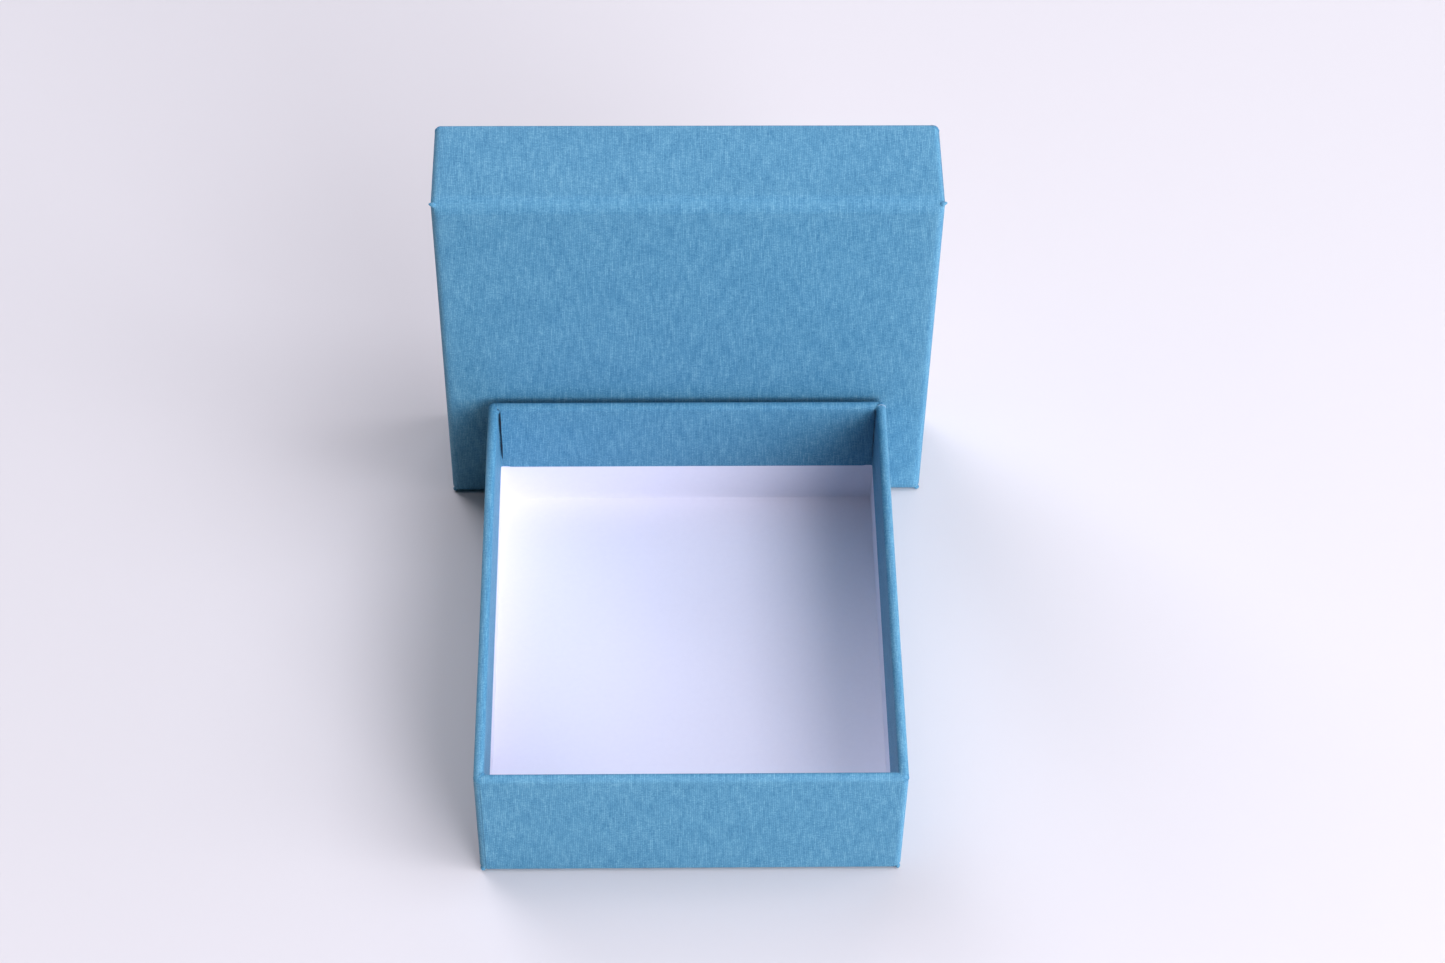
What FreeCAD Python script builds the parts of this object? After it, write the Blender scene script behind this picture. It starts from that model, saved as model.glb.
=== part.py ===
"""Two-piece rigid gift box for jewellery: an open base and its lift-off lid.

Each half is made the way a rigid paper box is made.  One scored board blank is
folded up into a tray, paper tape holds its four open corners, a lining paper
covers the inside, and a linen-embossed wrap paper covers the outside, rolls
over the rim and turns in.

Millimetres.  The origin is the centre of the base's underside, +X runs along
the base's short side, +Y along its long side towards the lid, +Z is up.  The
lid stands on one of its long walls just behind the base, top panel forward.
"""

import FreeCAD, Part
import os
import Sketcher

SIZES = {
    "base_width": 65.8,        # outside, over the wrap, along X
    "base_length": 75.8,       # outside, over the wrap, along Y
    "base_height": 25.0,       # underside to rim
    "lid_depth": 18.0,         # top panel to rim
    "lid_clearance": 0.5,      # between base and lid on each side, when closed
    "rest_gap": 1.0,           # between the base and the standing lid
    "board_thickness": 1.2,
    "wrap_thickness": 0.15,
    "liner_thickness": 0.1,
    "base_turn_in": 15.0,      # wrap paper inside the base, down from the rim
    "lid_turn_in": 12.0,       # the same inside the lid
    "liner_drop": 0.8,         # lining paper stops this far below the rim
    "fold_radius": 1.2,        # outside of the scored folds and wall corners
    "rim_radius": 0.5,         # rolled edge of the mouth
    "corner_slit": 0.2,        # open butt joint between neighbouring walls
    "stay_thickness": 0.1,     # corner tape, pressed flush into the board
    "stay_leg": 8.0,           # corner tape on each wall, from the corner
    "stay_margin": 2.0,        # corner tape stops this far from fold and rim
}

# Sizes that follow from the driving ones, as expressions on the sheet.
SKIN = "Sizes.wrap_thickness"
BOARD = "Sizes.board_thickness"
LINER = "Sizes.liner_thickness"
WALL = f"(2 * {SKIN} + {BOARD} + {LINER})"
FLOOR = f"({SKIN} + {BOARD} + {LINER})"
LID_GROWTH = f"(2 * Sizes.lid_clearance + 2 * {WALL})"
LID_WIDTH = f"(Sizes.base_width + {LID_GROWTH})"
LID_LENGTH = f"(Sizes.base_length + {LID_GROWTH})"

# Short side, long side and depth of each half, outside over the wrap.
TRAYS = {
    "base": ("Sizes.base_width", "Sizes.base_length", "Sizes.base_height"),
    "lid": (LID_WIDTH, LID_LENGTH, "Sizes.lid_depth"),
}
TURN_IN = {"base": "Sizes.base_turn_in", "lid": "Sizes.lid_turn_in"}

# The standing lid: short side up, long side across, opening to the rear.
STANDING = FreeCAD.Rotation(FreeCAD.Vector(1, 1, 1), 240)
CORNERS = ((-1, -1), (1, -1), (1, 1), (-1, 1))
TOLERANCE = 1e-4


def make_sheet(doc):
    """The driving dimensions, one named cell each."""
    sheet = doc.addObject("Spreadsheet::Sheet", "Sizes")
    for row, (name, value) in enumerate(SIZES.items(), start=1):
        sheet.set(f"A{row}", name)
        sheet.set(f"B{row}", str(value))
        sheet.setAlias(f"B{row}", name)
    doc.recompute()


# ------------------------------------------------------------- choosing edges

def edge_names(shape, accept):
    """Names of the edges whose bounding box the test accepts."""
    return [f"Edge{i}" for i, edge in enumerate(shape.Edges, start=1) if accept(edge.BoundBox)]


def upright(box):
    return box.XLength < TOLERANCE and box.YLength < TOLERANCE


def at_bottom(shape):
    level = shape.BoundBox.ZMin + TOLERANCE
    return lambda box: box.ZMax < level


def at_top(shape):
    level = shape.BoundBox.ZMax - TOLERANCE
    return lambda box: box.ZMin > level


# ----------------------------------------------------- bodies, sketch by sketch

def rectangle_sketch(body, name, width, length, level):
    """A rectangle centred on the Z axis, at a height above the body's XY plane."""
    sketch = body.newObject("Sketcher::SketchObject", name)
    plane = next(item for item in body.Origin.OriginFeatures if item.Role == "XY_Plane")
    sketch.AttachmentSupport = [(plane, "")]
    sketch.MapMode = "FlatFace"
    sketch.setExpression(".AttachmentOffset.Base.z", level)
    points = [FreeCAD.Vector(x, y, 0) for x, y in CORNERS]
    for start, end in zip(points, points[1:] + points[:1]):
        sketch.addGeometry(Part.LineSegment(start, end), False)
    for line in range(4):
        sketch.addConstraint(Sketcher.Constraint("Coincident", line, 2, (line + 1) % 4, 1))
        sketch.addConstraint(Sketcher.Constraint("Vertical" if line % 2 else "Horizontal", line))
    sketch.addConstraint(Sketcher.Constraint("Symmetric", 0, 1, 2, 1, -1, 1))
    for label, line, kind, size in (("across", 0, "DistanceX", width), ("along", 1, "DistanceY", length)):
        index = sketch.addConstraint(Sketcher.Constraint(kind, line, 1, line, 2, 2.0))
        sketch.renameConstraint(index, label)
        sketch.setExpression(f"Constraints.{label}", size)
    return sketch


def padded_body(doc, name, width, length, height, level):
    """A body that starts as one padded rectangle."""
    body = doc.addObject("PartDesign::Body", name)
    outline = rectangle_sketch(body, f"{name}_outline", width, length, level)
    pad = body.newObject("PartDesign::Pad", f"{name}_pad")
    pad.Profile = outline
    pad.setExpression("Length", height)
    doc.recompute()
    return body


def pocket_mouth(doc, body, width, length, top, depth):
    """Pocket a centred rectangle down from the given height."""
    before = body.Shape.Volume
    mouth = rectangle_sketch(body, f"{body.Name}_mouth", width, length, top)
    pocket = body.newObject("PartDesign::Pocket", f"{body.Name}_pocket")
    pocket.Profile = mouth
    pocket.setExpression("Length", depth)
    doc.recompute()
    if body.Shape.Volume >= before:
        raise RuntimeError(f"{body.Name}: the pocket cut nothing")


def fillet_body(doc, body, name, radius, accept):
    """Fillet the edges of the body's tip that the test accepts."""
    tip = body.Tip
    fillet = body.newObject("PartDesign::Fillet", f"{body.Name}_{name}")
    fillet.Base = (tip, edge_names(tip.Shape, accept))
    fillet.setExpression("Radius", radius)
    doc.recompute()


# ------------------------------------------------------------- plain solid work

def box_between(doc, name, low, high):
    """A box between two corners, each given as three expressions."""
    box = doc.addObject("Part::Box", name)
    for side, start, end in zip(("Length", "Width", "Height"), low, high):
        box.setExpression(side, f"({end}) - ({start})")
    for axis, start in zip("xyz", low):
        box.setExpression(f".Placement.Base.{axis}", start)
    return box


def centred_box(doc, name, width, length, bottom, top):
    low = (f"-({width}) / 2", f"-({length}) / 2", bottom)
    high = (f"({width}) / 2", f"({length}) / 2", top)
    return box_between(doc, name, low, high)


def fillet_solid(doc, name, base, radius, accept):
    """Fillet the edges of a solid that the test accepts."""
    size = doc.Sizes.evalExpression(radius)
    fillet = doc.addObject("Part::Fillet", name)
    fillet.Base = base
    fillet.Edges = [(int(edge[4:]), size, size) for edge in edge_names(base.Shape, accept)]
    doc.recompute()
    return fillet


def fuse(doc, name, shapes):
    union = doc.addObject("Part::MultiFuse", name)
    union.Shapes = shapes
    doc.recompute()
    return union


def boolean(doc, kind, name, base, tool):
    """A Part::Cut or Part::Common of two objects."""
    result = doc.addObject(f"Part::{kind}", name)
    result.Base = base
    result.Tool = tool
    doc.recompute()
    return result


# -------------------------------------------------------- the pieces of one half

def folded_board(doc, half, width, length, height):
    """The folded blank before its corners are slit: floor, walls, rounded folds."""
    form = padded_body(doc, f"{half}_form", f"{width} - 2 * {SKIN}", f"{length} - 2 * {SKIN}",
                       f"{height} - 2 * {SKIN}", SKIN)
    fold = f"Sizes.fold_radius - {SKIN}"
    fillet_body(doc, form, "wall_corners", fold, upright)
    fillet_body(doc, form, "floor_folds", fold, at_bottom(form.Shape))
    inset = f"2 * ({SKIN} + {BOARD})"
    pocket_mouth(doc, form, f"{width} - {inset}", f"{length} - {inset}",
                 f"{height} - {SKIN}", f"{height} - 2 * {SKIN} - {BOARD}")
    fillet_body(doc, form, "rim", f"Sizes.rim_radius - {SKIN}", at_top(form.Shape))
    return form


def corner_slits(doc, half, width, length, height):
    """The open joints between the end walls and the side walls, floor to rim."""
    slits = []
    for number, (side, end) in enumerate(CORNERS, start=1):
        inner = f"{side} * ({width} / 2 - {SKIN} - {BOARD})"
        inside = f"{inner} - {side} * Sizes.corner_slit"
        outer = f"{end} * {length} / 2"
        inner_end = f"{end} * ({length} / 2 - {SKIN} - {BOARD})"
        across = (inside, inner) if side > 0 else (inner, inside)
        along = (inner_end, outer) if end > 0 else (outer, inner_end)
        low = (across[0], along[0], f"{SKIN} + {BOARD}")
        high = (across[1], along[1], height)
        slits.append(box_between(doc, f"{half}_slit_{number}", low, high))
    return fuse(doc, f"{half}_slits", slits)


def corner_stays(doc, half, form, width, length, height):
    """Four tapes folded round the board's wall corners, and the seat they are pressed into."""
    inset = f"2 * ({SKIN} + Sizes.stay_thickness)"
    core = centred_box(doc, f"{half}_stay_core", f"{width} - {inset}", f"{length} - {inset}",
                       "0", height)
    doc.recompute()
    core = fillet_solid(doc, f"{half}_stay_core_round", core,
                        f"Sizes.fold_radius - {SKIN} - Sizes.stay_thickness", upright)
    skin = boolean(doc, "Cut", f"{half}_stay_skin", form, core)
    places = []
    for number, (side, end) in enumerate(CORNERS, start=1):
        reach = f"({SKIN} + Sizes.stay_leg)"
        across = (f"{side} * ({width} / 2 - {reach})", f"{side} * {width} / 2")
        along = (f"{end} * ({length} / 2 - {reach})", f"{end} * {length} / 2")
        across = across if side > 0 else across[::-1]
        along = along if end > 0 else along[::-1]
        low = (across[0], along[0], "Sizes.fold_radius + Sizes.stay_margin")
        high = (across[1], along[1], f"{height} - Sizes.rim_radius - Sizes.stay_margin")
        places.append(box_between(doc, f"{half}_stay_place_{number}", low, high))
    seat = boolean(doc, "Common", f"{half}_stay_seat", skin, fuse(doc, f"{half}_stay_places", places))
    stays = [boolean(doc, "Common", f"{half}_corner_stay_{number}", skin, place)
             for number, place in enumerate(places, start=1)]
    return stays, seat


def lining(doc, name, width, length, height):
    """The lining paper: a thin tray inside the board, open at the top."""
    outer = f"2 * ({SKIN} + {BOARD})"
    inner = f"2 * ({SKIN} + {BOARD} + {LINER})"
    top = f"{height} - Sizes.liner_drop"
    liner = padded_body(doc, name, f"{width} - {outer}", f"{length} - {outer}",
                        f"{top} - {SKIN} - {BOARD}", f"{SKIN} + {BOARD}")
    pocket_mouth(doc, liner, f"{width} - {inner}", f"{length} - {inner}",
                 top, f"{top} - {FLOOR}")
    return liner


def wrapping(doc, half, form, width, length, height):
    """The wrap paper: outside skin, rolled rim and the turned-in band over the lining."""
    block = centred_box(doc, f"{half}_wrap_block", width, length, "0", height)
    doc.recompute()
    block = fillet_solid(doc, f"{half}_wrap_corners", block, "Sizes.fold_radius", upright)
    block = fillet_solid(doc, f"{half}_wrap_folds", block, "Sizes.fold_radius",
                         at_bottom(block.Shape))
    behind = f"2 * ({WALL} - {SKIN})"
    well = centred_box(doc, f"{half}_well", f"{width} - {behind}", f"{length} - {behind}",
                       FLOOR, f"{height} - {TURN_IN[half]}")
    mouth = centred_box(doc, f"{half}_wrap_mouth", f"{width} - 2 * {WALL}",
                        f"{length} - 2 * {WALL}", FLOOR, height)
    liner_space = lining(doc, f"{half}_liner_space", width, length, height)
    tools = fuse(doc, f"{half}_wrap_tools", [form, liner_space, well, mouth])
    skin = boolean(doc, "Cut", f"{half}_wrap_skin", block, tools)
    return fillet_solid(doc, f"{half}_wrap", skin, "Sizes.rim_radius", at_top(skin.Shape))


def make_half(doc, half):
    """All the pieces of the base or of the lid, floor down and mouth up."""
    width, length, height = TRAYS[half]
    form = folded_board(doc, half, width, length, height)
    stays, stay_seat = corner_stays(doc, half, form, width, length, height)
    slits = corner_slits(doc, half, width, length, height)
    openings = fuse(doc, f"{half}_board_cuts", [slits, stay_seat])
    board = boolean(doc, "Cut", f"{half}_board", form, openings)
    liner = lining(doc, f"{half}_liner", width, length, height)
    wrap = wrapping(doc, half, form, width, length, height)
    pieces = [board, liner, wrap, *stays]
    for piece in pieces:
        piece.Label = piece.Name
    return pieces


def stand_up(pieces):
    """Place the lid's pieces behind the base, standing on a long wall."""
    for piece in pieces:
        piece.Placement = FreeCAD.Placement(FreeCAD.Vector(), STANDING)
        piece.setExpression(".Placement.Base.y", "Sizes.base_length / 2 + Sizes.rest_gap")
        piece.setExpression(".Placement.Base.z", f"{LID_WIDTH} / 2")


# ------------------------------------------------------------------ the document

def check(doc, pieces):
    """Stop if any object failed or any piece isn't one valid solid."""
    for item in doc.Objects:
        if {"Invalid", "Error"} & set(item.State):
            raise RuntimeError(f"{item.Name}: {item.State}")
    for piece in pieces:
        shape = piece.Shape
        if shape.isNull() or not shape.isValid() or len(shape.Solids) != 1:
            raise RuntimeError(f"{piece.Label}: not one valid solid")


def export(pieces):
    os.makedirs("parts", exist_ok=True)
    for piece in pieces:
        piece.Shape.exportStep(f"parts/{piece.Label}.step")
        box = piece.Shape.BoundBox
        print(f"{piece.Label}: {piece.Shape.Volume:.1f} mm3, X {box.XMin:.2f}..{box.XMax:.2f},"
              f" Y {box.YMin:.2f}..{box.YMax:.2f}, Z {box.ZMin:.2f}..{box.ZMax:.2f}")


def main():
    doc = FreeCAD.newDocument("jewellery_box")
    make_sheet(doc)
    base = make_half(doc, "base")
    lid = make_half(doc, "lid")
    stand_up(lid)
    doc.recompute()
    check(doc, base + lid)
    export(base + lid)


main()
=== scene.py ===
"""Looks of a two-piece rigid paper gift box for jewellery: an open base and its lift-off lid.

Each half is dressed the way a box maker covers it.  One sheet of linen-embossed paper is the
outside skin and rolls over the rim, an end flap is glued over each end wall and turned in, the
paper is tucked at the rim corners, and a white lining sheet lies inside.  Metres, in the frame
of the design model: +X right, +Y to the rear, +Z up.
"""

import logging
import math
from dataclasses import dataclass
from enum import Enum
from typing import Any, Callable

import bpy
from mathutils import Matrix, Vector, noise


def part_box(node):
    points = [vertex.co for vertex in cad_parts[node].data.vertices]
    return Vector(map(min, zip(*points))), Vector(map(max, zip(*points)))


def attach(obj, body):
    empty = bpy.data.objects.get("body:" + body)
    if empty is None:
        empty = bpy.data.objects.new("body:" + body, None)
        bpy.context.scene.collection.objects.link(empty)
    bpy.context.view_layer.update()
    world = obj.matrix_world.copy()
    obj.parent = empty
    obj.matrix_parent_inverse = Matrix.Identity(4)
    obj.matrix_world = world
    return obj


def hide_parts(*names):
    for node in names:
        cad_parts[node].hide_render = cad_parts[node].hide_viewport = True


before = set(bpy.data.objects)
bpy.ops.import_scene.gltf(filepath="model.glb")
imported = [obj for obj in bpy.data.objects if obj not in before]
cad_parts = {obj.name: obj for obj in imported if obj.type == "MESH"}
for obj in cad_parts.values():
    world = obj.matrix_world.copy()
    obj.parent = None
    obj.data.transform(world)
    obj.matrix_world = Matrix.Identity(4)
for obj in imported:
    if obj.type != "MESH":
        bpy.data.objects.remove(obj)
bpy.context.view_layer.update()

LOG = logging.getLogger("gift_box")
MM = 0.001
NEAR = 0.02 * MM          # two places closer than this are the same place
LINING_PAPER = 0.1 * MM   # thickness of the white sheet
BASE_TURN_IN = 15 * MM    # wrap paper inside the base, down from the rim
LID_TURN_IN = 12 * MM     # the same inside the lid
LID_FOLD = 2.2 * MM       # radius of the loose folds round the lid's closed face
LID_LOOSENESS = 0.35 * MM
SHARP_ANGLE = math.radians(40)

Test = Callable[[Vector], bool]


# ------------------------------------------------------------------------------ small tools

def linear(hex_colour: str) -> tuple[float, float, float, float]:
    """Turn an sRGB hex colour into linear light.

    Args:
        hex_colour: Six hex digits after a hash sign.

    Returns:
        Linear red, green and blue, and an alpha of one.
    """
    values = [int(hex_colour[i:i + 2], 16) / 255 for i in (1, 3, 5)]
    red, green, blue = [v / 12.92 if v <= 0.04045 else ((v + 0.055) / 1.055) ** 2.4 for v in values]
    return red, green, blue, 1.0


def add_node(tree: bpy.types.NodeTree, kind: str, settings: dict[str | int, Any] | None = None,
             links: dict[str | int, bpy.types.NodeSocket] | None = None) -> bpy.types.Node:
    """Add a node with its settings and its incoming links.

    Args:
        tree: The node tree that gets the node.
        kind: The node's type name.
        settings: Socket values by input name or number, or properties by name.
        links: Output sockets by the input that each one feeds.

    Returns:
        The new node.
    """
    node = tree.nodes.new(kind)
    names = {socket.name for socket in node.inputs}
    for key, value in (settings or {}).items():
        if isinstance(key, int) or (key in names and not hasattr(node, key)):
            node.inputs[key].default_value = value
        else:
            setattr(node, key, value)
    for key, socket in (links or {}).items():
        tree.links.new(socket, node.inputs[key])
    return node


def new_material(name: str) -> tuple[bpy.types.Material, bpy.types.NodeTree, bpy.types.Node]:
    """Make an empty material with its output node.

    Args:
        name: The material's name.

    Returns:
        The material, its node tree and its output node.
    """
    material = bpy.data.materials.new(name)
    material.use_nodes = True
    tree = material.node_tree
    tree.nodes.clear()
    return material, tree, tree.nodes.new("ShaderNodeOutputMaterial")


def deselect_all() -> None:
    """Leave edit mode and deselect every object."""
    if bpy.context.object and bpy.context.object.mode != "OBJECT":
        bpy.ops.object.mode_set(mode="OBJECT")
    bpy.ops.object.select_all(action="DESELECT")


def select_edges(piece: bpy.types.Object, accept: Callable[[Vector, Vector], bool]) -> None:
    """Go to edit mode with only the accepted edges selected.

    Args:
        piece: The mesh object to edit.
        accept: Tells from an edge's two ends whether it is selected.
    """
    bpy.ops.object.mode_set(mode="EDIT")
    bpy.ops.mesh.select_mode(type="EDGE")
    bpy.ops.mesh.select_all(action="DESELECT")
    bpy.ops.object.mode_set(mode="OBJECT")
    points = [vertex.co for vertex in piece.data.vertices]
    for edge in piece.data.edges:
        a, b = edge.vertices
        edge.select = accept(points[a], points[b])
    bpy.ops.object.mode_set(mode="EDIT")


def select_faces(piece: bpy.types.Object, accept: Test) -> None:
    """Go to edit mode with only the faces whose centre is accepted selected.

    Args:
        piece: The mesh object to edit.
        accept: Tells from a face's centre whether it is selected.
    """
    bpy.ops.object.mode_set(mode="EDIT")
    bpy.ops.mesh.select_mode(type="FACE")
    bpy.ops.mesh.select_all(action="DESELECT")
    bpy.ops.object.mode_set(mode="OBJECT")
    for polygon in piece.data.polygons:
        polygon.select = accept(polygon.center)
    bpy.ops.object.mode_set(mode="EDIT")


def slice_mesh(piece: bpy.types.Object, low: Vector, high: Vector,
               steps: tuple[float, float, float]) -> None:
    """Cut the whole mesh along evenly spaced planes, so that it can bend.

    Args:
        piece: The mesh object to cut.
        low: The box's lowest corner.
        high: The box's highest corner.
        steps: The spacing of the planes along X, Y and Z, or zero for none.
    """
    bpy.ops.object.mode_set(mode="EDIT")
    bpy.ops.mesh.select_mode(type="FACE")
    for axis, step in enumerate(steps):
        if not step:
            continue
        count = max(1, round((high[axis] - low[axis]) / step))
        normal = [float(axis == i) for i in range(3)]
        for index in range(1, count):
            place = [0.0, 0.0, 0.0]
            place[axis] = low[axis] + (high[axis] - low[axis]) * index / count
            bpy.ops.mesh.select_all(action="SELECT")
            bpy.ops.mesh.bisect(plane_co=place, plane_no=normal)
    bpy.ops.object.mode_set(mode="OBJECT")


def apply_modifier(piece: bpy.types.Object, kind: str, **settings: Any) -> None:
    """Add a modifier, set it up and apply it.

    Args:
        piece: The mesh object.
        kind: The modifier's type.
        **settings: The modifier's properties.
    """
    modifier = piece.modifiers.new(kind.lower(), kind)
    for name, value in settings.items():
        setattr(modifier, name, value)
    bpy.context.view_layer.objects.active = piece
    bpy.ops.object.modifier_apply(modifier=modifier.name)


def settle(piece: bpy.types.Object, placement: Matrix) -> None:
    """Move a finished mesh to its place, with its object left at the origin.

    Args:
        piece: The mesh object, modelled with its own half's mouth up.
        placement: Takes the half's own axes to the frame's.
    """
    deselect_all()
    piece.select_set(True)
    bpy.context.view_layer.objects.active = piece
    bpy.ops.object.shade_smooth_by_angle(angle=SHARP_ANGLE)
    piece.matrix_world = placement
    bpy.ops.object.transform_apply(location=True, rotation=True, scale=True)


# ---------------------------------------------------------------------------------- finishes

class Grain(Enum):
    """Which way the embossed threads of a sheet run, on its half's own axes."""

    ACROSS = 0
    ALONG = 1


@dataclass(frozen=True)
class LinenPaper:
    """Wrap paper dyed blue and embossed with a linen roller.

    The roller leaves fine crossed ribs with slubs, so the matt surface breaks into short light
    and dark threads, stronger one way than the other.  Folds and rims are painted paler: partly
    rubbed wear and partly a painted highlight.
    """

    name: str = "linen embossed wrap paper"
    colour: str = "#4F8EAB"
    thread_dark: str = "#367394"
    thread_light: str = "#73AABF"
    # paler tint for folds and rims: partly rubbed wear, partly a painted highlight
    rubbed_and_highlight: str = "#7BB1C3"
    core: str = "#EEF3F8"
    shadow: str = "#04121F"
    thread_mm: float = 0.28
    slub_length_threads: float = 44.0
    cross_length_threads: float = 20.0
    cross_share: float = 0.38
    fibre_share: float = 0.36
    patch_share: float = 0.06
    crown_share: float = 0.22
    contrast: float = 0.13
    drift_mm: float = 0.12
    relief_mm: float = 0.05
    roughness: float = 0.62

    def material(self) -> bpy.types.Material:
        """Build the shader."""
        material, tree, output = new_material(self.name)
        sheet = add_node(tree, "ShaderNodeUVMap", {"uv_map": "sheet"}).outputs["UV"]
        per_thread = 1 / (self.thread_mm * MM)
        drift = add_node(tree, "ShaderNodeTexNoise", {"Scale": 70.0, "Detail": 2.0}, {"Vector": sheet})
        drift = add_node(tree, "ShaderNodeVectorMath",
                         {"operation": "MULTIPLY_ADD", 1: (self.drift_mm * MM,) * 3},
                         {0: drift.outputs["Color"], 2: sheet}).outputs[0]
        place = add_node(tree, "ShaderNodeSeparateXYZ", links={0: drift})
        main = self._threads(tree, place.outputs[0], place.outputs[1], self.slub_length_threads)
        cross = self._threads(tree, place.outputs[1], place.outputs[0], self.cross_length_threads)
        ribs = add_node(tree, "ShaderNodeMix", {"Factor": self.cross_share}, {2: main, 3: cross}).outputs[0]
        fibre = add_node(tree, "ShaderNodeTexNoise", {"Scale": per_thread, "Detail": 2.0},
                         {"Vector": sheet}).outputs["Fac"]
        surface = add_node(tree, "ShaderNodeMix", {"Factor": self.fibre_share},
                           {2: ribs, 3: fibre}).outputs[0]
        patch = add_node(tree, "ShaderNodeTexNoise", {"Scale": 90.0, "Detail": 3.0},
                         {"Vector": sheet}).outputs["Fac"]
        tone = add_node(tree, "ShaderNodeMix", {"Factor": self.patch_share},
                        {2: surface, 3: patch}).outputs[0]
        ramp = add_node(tree, "ShaderNodeValToRGB", links={"Fac": tone})
        stops = ((0.5 - self.contrast, self.thread_dark), (0.5, self.colour),
                 (0.5 + self.contrast, self.thread_light))
        while len(ramp.color_ramp.elements) < len(stops):
            ramp.color_ramp.elements.new(0.5)
        for stop, (place, colour) in zip(ramp.color_ramp.elements, stops):
            stop.position, stop.color = place, linear(colour)
        colour = ramp.outputs["Color"]
        # fold tints folds and rims paler (rubbed wear and painted highlight), core is the white paper core
        # of a raw edge, crease paints shade into creases and seam slits
        for mark, tint, strength in (("fold", self.rubbed_and_highlight, 0.25), ("core", self.core, 0.9),
                                     ("crease", self.shadow, 1.0)):
            amount = add_node(tree, "ShaderNodeAttribute", {"attribute_name": mark}).outputs["Fac"]
            amount = add_node(tree, "ShaderNodeMath",
                              {"operation": "MULTIPLY", 1: strength, "use_clamp": True},
                              {0: amount}).outputs[0]
            colour = add_node(tree, "ShaderNodeMix", {"data_type": "RGBA", 7: linear(tint)},
                              {0: amount, 6: colour}).outputs[2]
        bump = add_node(tree, "ShaderNodeBump", {"Strength": 0.6, "Distance": self.relief_mm * MM},
                        {"Height": surface}).outputs["Normal"]
        paper = add_node(tree, "ShaderNodeBsdfPrincipled",
                         {"Roughness": self.roughness, "IOR": 1.45, "Specular IOR Level": 0.35},
                         {"Base Color": colour, "Normal": bump})
        tree.links.new(paper.outputs[0], output.inputs["Surface"])
        return material

    def _threads(self, tree: bpy.types.NodeTree, across: bpy.types.NodeSocket,
                 along: bpy.types.NodeSocket, length: float) -> bpy.types.NodeSocket:
        """Parallel threads, each with its own run of thick and thin places.

        Args:
            tree: The node tree.
            across: Place across the threads, in metres.
            along: Place along the threads, in metres.
            length: The usual length of a slub, in thread spacings.

        Returns:
            The thread's thickness, from nought to one.
        """
        pitch = self.thread_mm * MM
        count = add_node(tree, "ShaderNodeMath", {"operation": "DIVIDE", 1: pitch}, {0: across}).outputs[0]
        number = add_node(tree, "ShaderNodeMath", {"operation": "FLOOR"}, {0: count}).outputs[0]
        start = add_node(tree, "ShaderNodeTexWhiteNoise", {"noise_dimensions": "1D"}, {"W": number})
        run = add_node(tree, "ShaderNodeMath", {"operation": "DIVIDE", 1: pitch * length / 2.5},
                       {0: along}).outputs[0]
        run = add_node(tree, "ShaderNodeMath", {"operation": "MULTIPLY_ADD", 1: 90.0},
                       {0: start.outputs["Value"], 2: run}).outputs[0]
        spot = add_node(tree, "ShaderNodeCombineXYZ", links={0: number, 1: run}).outputs[0]
        slubs = add_node(tree, "ShaderNodeTexNoise", {"noise_dimensions": "2D", "Scale": 1.0, "Detail": 2.5,
                                                      "Roughness": 0.6}, {"Vector": spot}).outputs["Fac"]
        wave = add_node(tree, "ShaderNodeMath", {"operation": "MULTIPLY", 1: 2 * math.pi},
                        {0: count}).outputs[0]
        wave = add_node(tree, "ShaderNodeMath", {"operation": "COSINE"}, {0: wave}).outputs[0]
        crown = add_node(tree, "ShaderNodeMath", {"operation": "MULTIPLY_ADD", 1: -0.5, 2: 0.5},
                         {0: wave}).outputs[0]
        return add_node(tree, "ShaderNodeMix", {"Factor": self.crown_share},
                        {2: slubs, 3: crown}).outputs[0]


@dataclass(frozen=True)
class LiningPaper:
    """Smooth uncoated white lining paper, faintly mottled by its fibres."""

    name: str = "white uncoated lining paper"
    colour: str = "#EFEEF7"
    mottle: str = "#EAE9F3"
    fibre_mm: float = 0.8
    relief_mm: float = 0.01

    def material(self) -> bpy.types.Material:
        """Build the shader."""
        material, tree, output = new_material(self.name)
        place = add_node(tree, "ShaderNodeTexCoord").outputs["Object"]
        cloud = add_node(tree, "ShaderNodeTexNoise",
                         {"Scale": 1 / (self.fibre_mm * MM), "Detail": 5.0, "Roughness": 0.6},
                         {"Vector": place}).outputs["Fac"]
        colour = add_node(tree, "ShaderNodeMix", {"data_type": "RGBA", 6: linear(self.colour),
                                                  7: linear(self.mottle)}, {0: cloud}).outputs[2]
        bump = add_node(tree, "ShaderNodeBump", {"Strength": 0.25, "Distance": self.relief_mm * MM},
                        {"Height": cloud}).outputs["Normal"]
        paper = add_node(tree, "ShaderNodeBsdfPrincipled", {"Roughness": 0.85, "Specular IOR Level": 0.25},
                         {"Base Color": colour, "Normal": bump})
        tree.links.new(paper.outputs[0], output.inputs["Surface"])
        return material


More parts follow.
